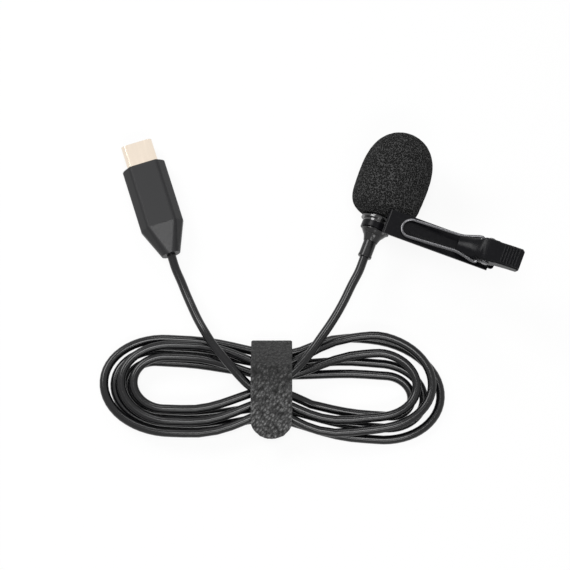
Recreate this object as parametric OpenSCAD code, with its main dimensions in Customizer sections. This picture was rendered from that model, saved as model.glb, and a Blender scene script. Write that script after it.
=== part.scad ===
// Clip-on lavalier microphone with a foam windscreen, a swivelling spring clip,
// a hanked cable held by a hook-and-loop tie, and a digital plug.
// Millimetres. +Y runs along the microphone towards the foam, +X along the clip,
// +Z up. The part lies on z = 0, and the origin is under the middle of the
// microphone and its clip.

/* [Windscreen] */
// Largest diameter of the foam
foam_d = 18.6; // [17:0.1:21]
// Height of the foam along the microphone
foam_h = 24; // [21:0.5:27]
// Gap between the foam and the stop flange
foam_gap = 0.75; // [0.5:0.05:1.2]
// Height above its bottom at which the foam is widest
foam_wide_at = 10.2; // [9:0.1:12]

/* [Microphone head] */
// Outer diameter of the head tube
head_d = 7; // [7:0.1:8]
// Wall of the head tube
head_wall = 0.3; // [0.25:0.05:0.35]
// Length of the head tube
head_len = 12; // [11:0.5:14]
// Diameter of the capsule can
capsule_d = 6; // [5.4:0.1:6]
// Height of the capsule can
capsule_h = 2.7; // [2.2:0.1:3]
// Thickness of the round preamplifier board
board_t = 0.6; // [0.5:0.1:0.8]
// Height of the grille cap above the tube
cap_h = 1.35; // [1:0.05:1.8]
// Diameter of each hole in the grille cap
cap_hole_d = 0.7; // [0.5:0.05:0.8]

/* [Collar and strain relief] */
// Diameter of the stop flange
flange_d = 9; // [8.6:0.1:9.6]
// Thickness of the stop flange
flange_t = 0.5; // [0.4:0.05:0.7]
// Diameter of the shoulder ahead of the clip ring
collar_d = 7.6; // [7.4:0.1:8.2]
// Length of the shoulder behind the flange
shoulder_len = 0.8; // [0.6:0.05:1.1]
// Diameter of the neck that the clip ring turns on
neck_d = 6; // [5.6:0.1:6.1]
// Diameter of the bell behind the clip ring
bell_d = 6.9; // [6.6:0.1:7.4]
// Length of the bell
bell_len = 3.1; // [2.8:0.1:4]
// Diameter of the strain relief sleeve
sleeve_d = 3.4; // [3.1:0.1:3.8]
// Length of the sleeve behind the bell
sleeve_len = 4.4; // [3:0.1:6]

/* [Clip base] */
// Width of the clip's base plate
plate_w = 6.6; // [6.4:0.1:7.4]
// Thickness of the sheet of the base
plate_t = 0.55; // [0.45:0.05:0.7]
// Height of the plate's underside above the microphone's axis
plate_rise = 8.45; // [8.2:0.05:9.5]
// Distance from the microphone's axis to the bent end of the plate
plate_start = 2.3; // [2:0.1:2.6]
// Distance from the microphone's axis to the end of the tail
tail_end = 32; // [31.8:0.1:34]
// Width of the ring round the neck
ring_w = 1.5; // [1.2:0.1:1.8]
// Thickness of the ring
ring_t = 0.8; // [0.6:0.05:0.9]
// Opening of the ring under the microphone, in degrees
ring_open = 70; // [50:5:90]
// Distance between the outer faces of the two ears
ears_w = 4.7; // [4.5:0.05:4.8]
// Thickness of an ear
ear_t = 0.5; // [0.4:0.05:0.55]
// Radius of the rounded top of an ear
ear_r = 1.2; // [1.1:0.05:1.3]

/* [Lever and bail] */
// Distance from the microphone's axis to the pivot
pivot_x = 29.4; // [29:0.1:29.8]
// Height of the pivot above the base plate
pivot_h = 5.2; // [5:0.1:5.6]
// Diameter of the pivot pin
pin_d = 1.4; // [1.2:0.05:1.5]
// Width of the thumb pad
pad_w = 5.6; // [5:0.1:5.8]
// Length of the lever behind its pivot
pad_reach = 8.6; // [7.6:0.1:10]
// Length of the lever ahead of its pivot
nose_reach = 7.9; // [7.4:0.1:8.6]
// Thickness of the lever's sheet
lever_t = 0.5; // [0.4:0.05:0.55]
// Number of ribs across the thumb pad
rib_count = 6; // [4:1:7]
// Diameter of the bail wire
wire_d = 0.8; // [0.6:0.05:0.9]
// Distance from the microphone's axis to the closed end of the bail
bail_end = 6.7; // [5.6:0.1:8]
// Distance between the two legs at the closed end
bail_w = 4.6; // [4.2:0.1:5]
// Diameter of the torsion spring's wire
spring_wire_d = 0.35; // [0.25:0.05:0.38]

/* [Cord] */
// Diameter of the cord
cord_d = 2.3; // [2:0.05:2.4]
// Distance between neighbouring turns of the hank
turn_step = 3.15; // [3.15:0.05:3.3]
// Distance between the two layers of the hank
layer_step = 2.8; // [2.8:0.05:3.2]

/* [Cable tie] */
// Width of the strap
tie_w = 10.6; // [8:0.1:12]
// Thickness of the strap
tie_t = 0.9; // [0.7:0.05:1]

/* [Plug] */
// Width of the plug's barrel
barrel_w = 11.5; // [10.8:0.1:13]
// Thickness of the barrel
barrel_h = 7.6; // [7.2:0.1:9]
// Length of the barrel
barrel_len = 17.3; // [16.5:0.1:22]
// Wall of the barrel
barrel_wall = 0.8; // [0.6:0.05:0.9]
// Length of the tapered tail
tail_len = 8; // [7:0.1:10]
// Diameter of the tail's end
tail_d = 5; // [4.4:0.1:5.6]
// Width of the plug's shell
shell_w = 8.34; // [8.3:0.01:8.4]
// Thickness of the plug's shell
shell_h = 2.56; // [2.5:0.01:2.6]
// Wall of the shell
shell_wall = 0.3; // [0.2:0.02:0.34]
// Length of the shell ahead of the barrel
shell_out = 6.7; // [6.4:0.05:7]
// Length of the shell inside the barrel
shell_in = 5; // [4:0.1:5.6]
// Width of the circuit board
pcb_w = 7.6; // [6.6:0.1:8]
// Length of the circuit board
pcb_len = 10.5; // [9:0.1:11]
// Thickness of the circuit board
pcb_t = 0.8; // [0.6:0.1:1]

/* [Hidden] */
$fn = 48;
fit = 0.02;
run_gap = 0.05;
side_gap = 0.1;
skin = 0.01;

// Stations along the microphone, measured from the middle of the stop flange
flange_front = flange_t / 2;
flange_back = -flange_t / 2;
shoulder_back = flange_back - shoulder_len;
bell_front = shoulder_back - ring_w - 2 * side_gap;
bell_back = bell_front - bell_len;
sleeve_back = bell_back - sleeve_len;
head_top = flange_front + head_len;
foam_start = flange_front + foam_gap;
head_bore_r = head_d / 2 - head_wall;
head_floor_t = 1;
spigot_r = 2.5;
spigot_len = 1.4;
lead_bore_r = 1.35;
sleeve_in = 0.8;
chamber_r = 1.75;
cap_lip = 1;
cap_wall = 0.3;
mesh_t = 0.15;
mesh_front = head_top - cap_lip;
capsule_front = mesh_front - mesh_t;
capsule_back = capsule_front - capsule_h;
board_back = capsule_back - board_t;
cord_end_y = bell_back + sleeve_in + 0.9;
lead_d = 0.5;

// Clip, measured from the microphone's axis and the middle of its own plate
ring_y = shoulder_back - side_gap - ring_w / 2;
plate_shift = 0.45;
clip_y = ring_y + plate_shift;
plate_top = plate_rise + plate_t;
ring_in_r = neck_d / 2 + run_gap;
ring_out_r = ring_in_r + ring_t;
bend_r = 0.9;
tab_low = sqrt(pow(ring_in_r + ring_t / 2, 2) - plate_start * plate_start);
tab_neck = sqrt(pow(flange_d / 2 + 0.25, 2) - plate_start * plate_start);
tab_flare = 2.8;
pivot_z = plate_top + pivot_h;
ear_in = ears_w / 2 - ear_t;
tail_half = plate_w / 2 - 0.7;
tail_r = 0.8;
rib_half = 1.05;
rib_h = 0.25;
rib_from = bail_end + wire_d + 1;
rib_to = pivot_x - 3.4;
lever_end = pivot_x + pad_reach;

// The lever's skirts pass outside the ears
neck_half = ears_w / 2 + side_gap + lever_t;

// Bail: a loop of wire in a plane that rises from the plate to its hooks
hook_x = pivot_x - 2;
hook_h = pivot_h - 1.3;
bail_low = wire_d / 2 + run_gap;
bail_tilt = atan((hook_h - bail_low) / (hook_x - bail_end));
hook_s = (hook_x - bail_end) / cos(bail_tilt);
hook_y = neck_half + run_gap + wire_d / 2;
waist_y = bail_w / 2 - 0.15;
hook_in = neck_half - lever_t - 0.1;

// Lever: cross-sections from nose to pad as
// [distance from the pivot, half width of the top, height of the top,
//  half width of the skirt, height of the skirt], heights from the base plate
pad_half = pad_w / 2;
function leg_top(dx) = bail_low + (pivot_x + dx - bail_end) * tan(bail_tilt)
    + wire_d / 2 / cos(bail_tilt) + run_gap;
lever_form = [
    [-nose_reach, 1, 3.95, 1.8, leg_top(-nose_reach)],
    [-6.4, 1.15, 4.5, 2.2, leg_top(-6.4)],
    [-4.4, 1.5, 5.3, 2.6, leg_top(-4.4)],
    [-3, 2, 6.05, neck_half, leg_top(-3)],
    [-2.6, 2.2, 6.25, neck_half, hook_h - 0.75],
    [-1.5, neck_half - 0.03, 6.85, neck_half, hook_h - 0.9],
    [0, neck_half, 7.3, neck_half, pivot_h - 1.9],
    [1.8, neck_half, 7.5, neck_half, pivot_h - 1.2],
    [2.4, pad_half, 7.6, pad_half, pivot_h - 0.9],
    [5, pad_half, 8, pad_half, pivot_h - 0.1],
    [pad_reach - 0.6, pad_half, 8.25, pad_half, pivot_h + 0.4],
    [pad_reach, pad_half - 0.5, 8.2, pad_half - 0.5, pivot_h + 0.5]
];
rib_r = 0.3;
rib_pitch = 0.75;
coil_r = pin_d / 2 + spring_wire_d / 2 + 0.15;
coil_turns = 4;
coil_step = spring_wire_d + 0.35;

// Place of the microphone: its middle and that of the clip lie over the origin
mic_x = (foam_d / 2 - lever_end) / 2;
mic_y = -(foam_start + foam_h + sleeve_back) / 2;
mic_z = foam_d / 2;

// Hank: a frame of its own, with its runs along its first axis
hank_at = [-24.6, -58.2, 0];
hank_turn = 20.8;
hank_reach = 30.8;
upper_in = 1.9;
waist_half = 1.6;
upper_waist = -0.9;
lobe_r = 3.7;
knee = 0.8;
pinch = 0.13;
rounding = 0.45;
lean = 1.6;
shift = 0.4;
waist_shift = 0.6;
end_shift = 0.1;
turns = 5;
climb_at = 2.5;
first_step = 0.25;
bulge = 0.3;
fan_low = 1;
fan_up = 0.7;
fan_start = 5.2;
upper_rise = 3.2;
rise_from = 6;
rise_over = 24;
tie_lift = 1.25;
tie_lift_w = 14;
side_share = 5 / 24;
arc_share = 7 / 24;
hank_start_u = 13;
hank_end_u = 9;

// Routes of the two free runs of cord in the hank's frame, ends left out
mic_run = [
    [20.7, 27, 8.9], [19, 23.5, 8.5], [17.1, 20, 8.1], [15.1, 16.8, 7.8],
    [13, 13.8, 7.6], [10.8, 10.6, 7.6], [8.4, 7.4, 7.8], [5.8, 4.7, 7.9],
    [3, 2.7, 7.8], [0.5, 1.7, 7.3], [-1.8, 0.8, 5.8], [-3.8, 0, 5.1]
];
plug_run = [
    [-23.6, 29, 4.1], [-22.2, 25.5, 4.6], [-20.7, 22, 5.3], [-19.1, 18.5, 6],
    [-17.3, 15.2, 6.8], [-15.4, 12.1, 7.2], [-13.2, 9.2, 7.4], [-10.8, 6.3, 7.6],
    [-8.4, 3.5, 7.7], [-5.8, 0.9, 7.7], [-3.2, -0.5, 7.7], [-0.5, -1.1, 7.7],
    [2.2, -0.8, 6.4], [4.8, -1.1, 4.4], [7.6, -2, 2.8]
];
lead_in = 4;

// Cable tie: the band's width, where the runs cross under it, and its tongue
band_w = tie_w - 1.8;
run_crossings = [[4.4, 7.95], [-1.3, 7.75]];
tongue_past = 4.5;
tongue_round = 4.2;

// Plug: a frame of its own, origin at the end of its tail
plug_at = [-62.2, -33.5];
plug_turn = 38.5;
barrel_r = 1.3;
barrel_flat = 3.1;
barrel_side = 0.7;
barrel_chamfer = 0.3;
plug_front = tail_len + barrel_len;
nose_t = 1.2;
slot_h = 1.3;
slot_w = shell_w - 2 * shell_wall - 0.9;
contact_step = 0.5;
contact_count = 12;
contact_w = 0.25;
contact_t = 0.15;
plug_cord_in = 4.6;
tail_spigot = 1.5;
shell_back = plug_front - shell_in;
pcb_back = shell_back - pcb_len;

INK = [0.05, 0.05, 0.055];
FOAM = [0.12, 0.12, 0.125];
STEEL = [0.62, 0.62, 0.64];
GOLD = [0.93, 0.86, 0.78];
COPPER = [0.8, 0.55, 0.3];
BOARD = [0.06, 0.24, 0.14];
STRAP = [0.2, 0.2, 0.21];

// ---------- helpers ----------

function unit(v) = v / norm(v);
function smooth(k) = k * k * (3 - 2 * k);
function clamp(k) = min(max(k, 0), 1);
function turned(p, a) = [p[0] * cos(a) - p[1] * sin(a), p[0] * sin(a) + p[1] * cos(a)];

// Direction of a path at one of its points
function heading(path, i) =
    unit(path[min(i + 1, len(path) - 1)] - path[max(i - 1, 0)]);

// A closed skin through rings of n points each, one ring after the other
module skinned(points, n) {
    last = len(points) / n - 1;
    walls = [
        for (i = [0:last - 1])
            for (j = [0:n - 1])
                let (k = (j + 1) % n)
                for (face = [
                    [i * n + j, i * n + k, (i + 1) * n + k],
                    [i * n + j, (i + 1) * n + k, (i + 1) * n + j]
                ]) face
    ];
    start_cap = [for (j = [1:n - 2]) [0, j + 1, j]];
    end_cap = [for (j = [1:n - 2]) [last * n, last * n + j, last * n + j + 1]];
    polyhedron(points, concat(walls, start_cap, end_cap));
}

// A round tube swept along a path, with up never along the path
module tube(path, d, sides, up = [0, 0, 1]) {
    skinned(
        [
            for (i = [0:len(path) - 1])
                let (t = heading(path, i))
                let (a = unit(cross(t, up)))
                let (b = cross(a, t))
                for (j = [0:sides - 1])
                    path[i] + d / 2 * (a * cos(360 * j / sides) + b * sin(360 * j / sides))
        ],
        sides
    );
}

// A closed loft through sections of the same number of points
module loft(sections) {
    skinned([for (s = sections) for (p = s) p], len(sections[0]));
}

// Children turned so that what stood on +Z from 0 runs on +Y from y
module along_y(y) {
    translate([0, y, 0]) rotate([-90, 0, 0]) children();
}

module disc(y, r, h) {
    along_y(y) cylinder(r = r, h = h);
}

module pipe(y, r_out, r_in, h) {
    difference() {
        disc(y, r_out, h);
        disc(y - skin, r_in, h + 2 * skin);
    }
}

// A flat outline in X and Z, given its depth along Y, centred on y = 0
module across(depth) {
    rotate([90, 0, 0]) linear_extrude(height = depth, center = true) children();
}

// A flat outline in X and Z, run from y to y + length
module prism_y(y, length) {
    translate([0, y + length, 0]) rotate([90, 0, 0]) linear_extrude(height = length) children();
}

module mic_frame() {
    translate([mic_x, mic_y, mic_z]) children();
}

module clip_frame() {
    mic_frame() translate([0, clip_y, 0]) children();
}

module hank_frame() {
    translate(hank_at) rotate([0, 0, hank_turn]) children();
}

module plug_frame() {
    translate([plug_at[0], plug_at[1], barrel_h / 2]) rotate([0, 0, plug_turn]) children();
}

// ---------- microphone ----------

// Radius of the foam at height s above its bottom: a rounded barrel whose top
// is a full dome and whose bottom turns in sharply
function foam_radius(s) =
    s > foam_wide_at
    ? foam_d / 2 * pow(1 - pow((s - foam_wide_at) / (foam_h - foam_wide_at), 2.7), 1 / 2.1)
    : let (k = (foam_wide_at - s) / foam_wide_at)
        foam_d / 2 * (1 - 0.03 * k) * pow(1 - pow(k, 5), 1 / 3.4);

module windscreen() {
    steps = 26;
    bore_r = head_d / 2 + run_gap;
    bore_h = head_top + cap_h + 0.3 - foam_start;
    bottom_s = 0.3;
    color(FOAM)
        mic_frame() along_y(foam_start) rotate_extrude()
            polygon(concat(
                [[0, bore_h], [bore_r, bore_h], [bore_r, 0], [foam_radius(bottom_s) - 0.5, 0]],
                [
                    for (i = [0:steps - 1])
                        let (s = bottom_s + (foam_h - bottom_s) * (1 - cos(180 * i / steps)) / 2)
                        [foam_radius(s), s]
                ],
                [[0, foam_h]]
            ));
}

module grille_cap() {
    r = head_d / 2;
    lip_r = head_bore_r - fit;
    edge = 0.5;
    color(STEEL)
        mic_frame() difference() {
            along_y(head_top - cap_lip) rotate_extrude()
                polygon(concat(
                    [[lip_r - cap_wall, 0], [lip_r, 0], [lip_r, cap_lip], [r, cap_lip]],
                    [
                        for (a = [0:15:90])
                            [r - edge + edge * cos(a), cap_lip + cap_h - edge + edge * sin(a)]
                    ],
                    [
                        [0, cap_lip + cap_h], [0, cap_lip + cap_h - cap_wall],
                        [lip_r - cap_wall, cap_lip + cap_h - cap_wall]
                    ]
                ));
            for (ring = [0, 1, 2])
                for (i = [0:max(ring * 6, 1) - 1])
                    rotate([0, i * 60 / max(ring, 1), 0])
                        translate([ring * 1.15, 0, 0])
                            disc(head_top + cap_h - 2 * cap_wall, cap_hole_d / 2, 3 * cap_wall);
        }
}

module dust_mesh() {
    color(INK)
        mic_frame() disc(mesh_front - mesh_t, head_bore_r - fit, mesh_t);
}

module capsule() {
    color(STEEL)
        mic_frame() difference() {
            disc(capsule_back, capsule_d / 2, capsule_h);
            disc(capsule_front - 0.3, capsule_d / 2 - 0.8, 0.3 + skin);
        }
}

module capsule_gasket() {
    color(INK)
        mic_frame()
            pipe(capsule_back + 0.1, head_bore_r - fit, capsule_d / 2 + fit, capsule_h - 0.2);
}

module capsule_board() {
    color(BOARD)
        mic_frame() {
            disc(board_back, capsule_d / 2 - 0.3, board_t);
            translate([-1.2, board_back - 0.5, 0.5]) cube([1.3, 0.5 + skin, 0.8]);
            translate([0.3, board_back - 0.4, -1.3]) cube([1, 0.4 + skin, 0.5]);
        }
}

module mic_leads() {
    color(COPPER)
        mic_frame() for (side = [-1, 1])
            translate([side * 0.4, 0, -0.4])
                disc(cord_end_y, lead_d / 2, board_back - cord_end_y);
}

module mic_housing() {
    color(INK)
        mic_frame() difference() {
            union() {
                disc(flange_front, head_d / 2, head_len);
                disc(bell_front, neck_d / 2, flange_front - bell_front + skin);
                disc(bell_front - spigot_len, spigot_r, spigot_len + skin);
            }
            disc(flange_front + head_floor_t, head_bore_r, head_len);
            disc(bell_front - spigot_len - skin, lead_bore_r, spigot_len + head_len);
        }
}

module stop_flange() {
    color(INK)
        mic_frame() difference() {
            union() {
                disc(flange_back, flange_d / 2, flange_t);
                disc(shoulder_back, collar_d / 2, shoulder_len + skin);
            }
            disc(shoulder_back - skin, neck_d / 2 + fit, shoulder_len + flange_t + 2 * skin);
        }
}

// The bell is dished towards the ring and narrows to the sleeve in a long curve
module rear_collar() {
    big = bell_d / 2;
    small = sleeve_d / 2 + 0.15;
    drop = big - small;
    rim = 0.25;
    color(INK)
        mic_frame() difference() {
            along_y(bell_back) rotate_extrude()
                polygon([
                    [0, 0], [small, 0], [small + drop * 0.08, bell_len * 0.14],
                    [small + drop * 0.19, bell_len * 0.32], [small + drop * 0.33, bell_len * 0.48],
                    [small + drop * 0.46, bell_len * 0.58], [small + drop * 0.52, bell_len * 0.6],
                    [small + drop * 0.68, bell_len * 0.71], [small + drop * 0.84, bell_len * 0.84],
                    [big, bell_len - rim], [big, bell_len - 0.08], [big - 0.08, bell_len],
                    [0, bell_len]
                ]);
            disc(bell_front - spigot_len, spigot_r + fit, spigot_len + skin);
            disc(bell_back + sleeve_in, chamber_r, bell_len);
            disc(bell_back - skin, sleeve_d / 2 + fit, bell_len);
        }
}

module cable_anchor() {
    y = bell_back + sleeve_in;
    color(STEEL)
        mic_frame() pipe(y, chamber_r - fit, cord_d / 2 + fit, bell_front - spigot_len - y);
}

module mic_cord_end() {
    color(INK)
        mic_frame() disc(sleeve_back, cord_d / 2, cord_end_y - sleeve_back);
}

module mic_strain_relief() {
    rim = 0.1;
    color(INK)
        mic_frame() difference() {
            union() {
                disc(sleeve_back, sleeve_d / 2, sleeve_len + sleeve_in);
                disc(sleeve_back + 0.15, sleeve_d / 2 + rim, 0.45);
            }
            disc(sleeve_back - skin, cord_d / 2 + fit, sleeve_len + sleeve_in + 2 * skin);
        }
}

// ---------- clip ----------

module clip_plate() {
    bend_z = plate_top - bend_r;
    translate([0, 0, plate_rise]) linear_extrude(height = plate_t) {
        translate([plate_start + bend_r, -plate_w / 2])
            square([pivot_x + ear_r - plate_start - bend_r, plate_w]);
        translate([pivot_x + ear_r - 1, -tail_half])
            square([tail_end - tail_r - pivot_x - ear_r + 1, 2 * tail_half]);
        translate([pivot_x, -tail_half + tail_r])
            square([tail_end - pivot_x, 2 * (tail_half - tail_r)]);
        for (side = [-1, 1])
            translate([tail_end - tail_r, side * (tail_half - tail_r)]) circle(tail_r);
    }
    // the bend down towards the ring
    across(plate_w) difference() {
        translate([plate_start + bend_r, bend_z]) circle(bend_r);
        translate([plate_start + bend_r, bend_z]) circle(bend_r - plate_t);
        translate([plate_start + bend_r + skin, bend_z - 2 * bend_r]) square(4 * bend_r);
        translate([plate_start - bend_r, bend_z - 2 * bend_r]) square([4 * bend_r, 2 * bend_r]);
    }
    // a long pressed rib stiffens the plate between the legs of the bail
    translate([0, 0, plate_top - skin]) linear_extrude(height = rib_h + skin) {
        translate([rib_from + rib_half, -rib_half])
            square([rib_to - rib_from - 2 * rib_half, 2 * rib_half]);
        for (x = [rib_from + rib_half, rib_to - rib_half]) translate([x, 0]) circle(rib_half);
    }
}

// The end of the plate is bent down and narrows to the width of the ring
module clip_tab() {
    bend_z = plate_top - bend_r;
    ring_mid = ring_y - clip_y;
    translate([plate_start, 0, 0]) rotate([90, 0, 90]) linear_extrude(height = plate_t)
        polygon([
            [ring_mid - ring_w / 2, tab_low], [ring_mid + ring_w / 2, tab_low],
            [ring_mid + ring_w / 2, tab_neck], [plate_w / 2, tab_neck + tab_flare],
            [plate_w / 2, bend_z], [-plate_w / 2, bend_z],
            [-plate_w / 2, tab_neck + tab_flare], [ring_mid - ring_w / 2, tab_neck]
        ]);
}

module clip_ring() {
    low = ring_y - clip_y - ring_w / 2;
    wedge = 2 * ring_out_r;
    difference() {
        pipe(low, ring_out_r, ring_in_r, ring_w);
        translate([0, low - skin, 0]) rotate([-90, 0, 0])
            linear_extrude(height = ring_w + 2 * skin)
                polygon([
                    [0, 0],
                    [wedge * sin(ring_open / 2), wedge * cos(ring_open / 2)],
                    [-wedge * sin(ring_open / 2), wedge * cos(ring_open / 2)]
                ]);
    }
}

module clip_ears() {
    for (side = [-1, 1])
        translate([0, side * (ears_w - ear_t) / 2, 0]) across(ear_t) {
            translate([pivot_x, pivot_z]) circle(ear_r);
            translate([pivot_x - ear_r, plate_top - skin]) square([2 * ear_r, pivot_h + skin]);
        }
}

module clip_base() {
    color(INK)
        clip_frame() difference() {
            union() {
                clip_plate();
                clip_tab();
                clip_ring();
                clip_ears();
            }
            translate([pivot_x, 0, pivot_z]) disc(-plate_w, pin_d / 2 + fit, 2 * plate_w);
        }
}

// One cross-section of the lever, drawn in by a thickness on its inside
function lever_section(form, inset, cut) =
    let (x = pivot_x + form[0])
    let (top = max(form[1] - inset, 0.2))
    let (low = form[3] - inset)
    let (top_z = plate_top + form[2] - inset)
    let (low_z = plate_top + form[4] - cut)
    let (round = min(0.35, top / 2))
    let (fall = (low - top) * round / (top_z - low_z))
    [
        [x, -low, low_z], [x, -top - fall, top_z - round], [x, -top + round, top_z],
        [x, top - round, top_z], [x, top + fall, top_z - round], [x, low, low_z]
    ];

module lever_ribs() {
    first = pad_reach - 1.1;
    for (i = [0:rib_count - 1])
        let (dx = first - i * rib_pitch)
            translate([pivot_x + dx, 0, plate_top + lookup(dx, [for (f = lever_form) [f[0], f[2]]])])
                translate([0, 0, -0.1]) disc(-pad_half + 0.5, rib_r, 2 * pad_half - 1);
}

module clip_lever() {
    last = len(lever_form) - 1;
    inner = [
        for (i = [0:last])
            let (f = lever_form[i])
            let (x = i == 0 ? f[0] + lever_t : i == last ? f[0] - lever_t : f[0])
            [x, f[1], f[2], f[3], f[4]]
    ];
    color(INK)
        clip_frame() {
            difference() {
                loft([for (f = lever_form) lever_section(f, 0, 0)]);
                loft([for (f = inner) lever_section(f, lever_t, 1)]);
                translate([pivot_x, 0, pivot_z]) disc(-plate_w, pin_d / 2 + run_gap, 2 * plate_w);
                translate([hook_x, 0, plate_top + hook_h])
                    disc(-plate_w, wire_d / 2 + run_gap, 2 * plate_w);
            }
            lever_ribs();
        }
}

// Half of the bail in its own plane, from the closed end to the hook:
// [distance along the plane, distance from the middle]
bail_half = concat(
    [for (a = [0:15:90]) [bail_w / 2 * (1 - cos(a)), bail_w / 2 * sin(a)]],
    [
        [hook_s * 0.4, (bail_w / 2 + waist_y) / 2], [hook_s * 0.7, waist_y],
        [hook_s * 0.76, waist_y + 0.12], [hook_s * 0.85, (waist_y + hook_y) / 2],
        [hook_s * 0.93, hook_y - 0.12], [hook_s - 0.55, hook_y],
        [hook_s - 0.15, hook_y - 0.15], [hook_s, hook_y - 0.55],
        [hook_s, (hook_y + hook_in) / 2], [hook_s, hook_in]
    ]
);

function bail_point(p, side) = [
    bail_end + p[0] * cos(bail_tilt), side * p[1],
    plate_top + bail_low + p[0] * sin(bail_tilt)
];

module bail_wire() {
    last = len(bail_half) - 1;
    path = concat(
        [for (i = [last:-1:1]) bail_point(bail_half[i], -1)],
        [for (p = bail_half) bail_point(p, 1)]
    );
    color(STEEL)
        clip_frame() tube(path, wire_d, 8);
}

module pivot_pin() {
    face = neck_half + run_gap;
    head_r = pin_d / 2 + 0.4;
    head_t = 0.45;
    color(STEEL)
        clip_frame() translate([pivot_x, 0, pivot_z]) rotate([-90, 0, 0]) rotate_extrude()
            polygon([
                [0, -face - head_t], [head_r - 0.35, -face - head_t],
                [head_r, -face - 0.15], [head_r, -face], [pin_d / 2, -face],
                [pin_d / 2, face], [head_r, face], [head_r, face + 0.15],
                [head_r - 0.35, face + head_t], [0, face + head_t]
            ]);
}

// One leg stands on the base plate, the other lifts the thumb pad
module torsion_spring() {
    rings = 8;
    total = coil_turns * 360 + 90;
    half = coil_turns * coil_step / 2;
    steps = ceil(total * rings / 360);
    rest_z = spring_wire_d / 2 + run_gap - pivot_h;
    pad_x = 3;
    pad_top = lookup(pad_x, [for (f = lever_form) [f[0], f[2]]]);
    pad_z = pad_top - lever_t - spring_wire_d / 2 - 2 * run_gap - pivot_h;
    coil = [
        for (i = [0:steps])
            let (a = 180 - total * i / steps)
            [coil_r * cos(a), -half + 2 * half * i / steps, coil_r * sin(a)]
    ];
    path = concat(
        [[-coil_r - 0.3, -half, rest_z], [-coil_r - 0.1, -half, rest_z / 2]],
        coil,
        [[pad_x / 2, half, (coil_r + pad_z) / 2], [pad_x, half, pad_z]]
    );
    color(STEEL)
        clip_frame() translate([pivot_x, 0, pivot_z]) tube(path, spring_wire_d, 6, [0, 1, 0]);
}

// ---------- cord ----------

// The loops are offsets of one drawn-in outline: circles whose radius grows
// from the waist to the lobes, along a line down the middle of the hank. The
// outer ones start their ends sooner and draw closer together at the waist
function reach_at(t, r) =
    hank_reach - upper_in * smooth(clamp((t - climb_at - 0.3) / 0.3)) - rounding * r;
function waist_at(t) =
    waist_half + (upper_waist - waist_half) * smooth(clamp(4 * (t - climb_at) - 1));

// Offset of the cord from the inmost outline after t turns: out, up, in
function turn_out(t) =
    t <= climb_at
    ? turn_step * (first_step + t)
    : t <= climb_at + 0.5
    ? turn_step * (first_step + climb_at) + bulge * pow(sin(360 * (t - climb_at)), 2)
    : turn_step * (first_step + 2 * climb_at + 0.5 - t);
function layer_share(t) = smooth(clamp(2 * (t - climb_at)));

// The outer turns lie further apart at the top of the right lobe
function fanned(f) = smooth(clamp(f < 0.41 ? (f - 0.12) / 0.29 : (0.475 - f) / 0.065));

function on_side(c, r, reach, waist, side) =
    let (k = min(abs(c) / (knee * reach), 1))
    let (widening = lobe_r - waist + pinch * r)
    let (slope = sign(c) * widening * 6 * k * (1 - k) / (knee * reach))
    let (rho = waist + r * (1 - pinch) + widening * smooth(k))
    [c - slope * rho, side * rho * sqrt(1 - slope * slope)];
function on_lobe(end, r, reach, a) =
    [end * reach + (lobe_r + r * (1 + rounding)) * cos(a), (lobe_r + r) * sin(a)];

function flat_point(f, r, reach, waist) =
    let (half = side_share / 2)
    f < half ? on_side(reach * f / half, r, reach, waist, -1)
    : f < half + arc_share ? on_lobe(1, r, reach, -90 + 180 * (f - half) / arc_share)
    : f < half + arc_share + side_share
    ? on_side(reach * (1 - 2 * (f - half - arc_share) / side_share), r, reach, waist, 1)
    : f < 1 - half
    ? on_lobe(-1, r, reach, 90 + 180 * (f - half - arc_share - side_share) / arc_share)
    : on_side(reach * (f - 1) / half, r, reach, waist, -1);

// The upper layer lies shorter than the lower one, and higher at its right end
function hank_point(t) =
    let (f = t - floor(t))
    let (out = turn_out(t))
    let (fan = t < climb_at + 0.25 ? fan_low : fan_up)
    let (r = out + fan * fanned(f) * max(out - fan_start, 0))
    let (p = flat_point(f, r, reach_at(t, r), waist_at(t)))
    let (near = exp(-pow(p[0] / tie_lift_w, 2)))
    let (rise = upper_rise * smooth(clamp((p[0] - rise_from) / rise_over)))
    [
        p[0] + end_shift,
        p[1] + shift + waist_shift * near - lean * p[0] / hank_reach + layer_share(t) * rise,
        cord_d / 2 + layer_step * layer_share(t) + tie_lift * near
    ];

hank_from = side_share / 2 * hank_start_u / hank_reach;
hank_to = turns - side_share / 2 * hank_end_u / (hank_reach - upper_in);
small_step = 0.002;
hank_in_way = unit(hank_point(hank_from + small_step) - hank_point(hank_from));
hank_out_way = unit(hank_point(hank_to) - hank_point(hank_to - small_step));
hank_in = hank_point(hank_from) - hank_in_way * cord_d;
hank_out = hank_point(hank_to) + hank_out_way * cord_d;

function hank_path(rings) =
    let (n = ceil((hank_to - hank_from) * rings))
    concat(
        [hank_in],
        [for (i = [0:n]) hank_point(hank_from + (hank_to - hank_from) * i / n)],
        [hank_out]
    );

function path_length(path, i = 0) =
    i + 1 < len(path) ? norm(path[i + 1] - path[i]) + path_length(path, i + 1) : 0;

// Least distance between points of the hank that lie over half a turn apart
module report_hank() {
    rings = 48;
    path = hank_path(rings);
    apart = rings / 2;
    least = min([
        for (i = [0:len(path) - 1])
            for (j = [i + apart:1:len(path) - 1])
                norm(path[i] - path[j])
    ]);
    echo(str("least gap of the hank to itself: ", least - cord_d, " mm"));
    echo(str("length of cord in the hank: ", path_length(path), " mm"));
}

// A point in the row frame, as the hank's frame sees it
function in_hank(p) = turned([p[0] - hank_at[0], p[1] - hank_at[1]], -hank_turn);
function with_z(p, z) = [p[0], p[1], z];

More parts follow.
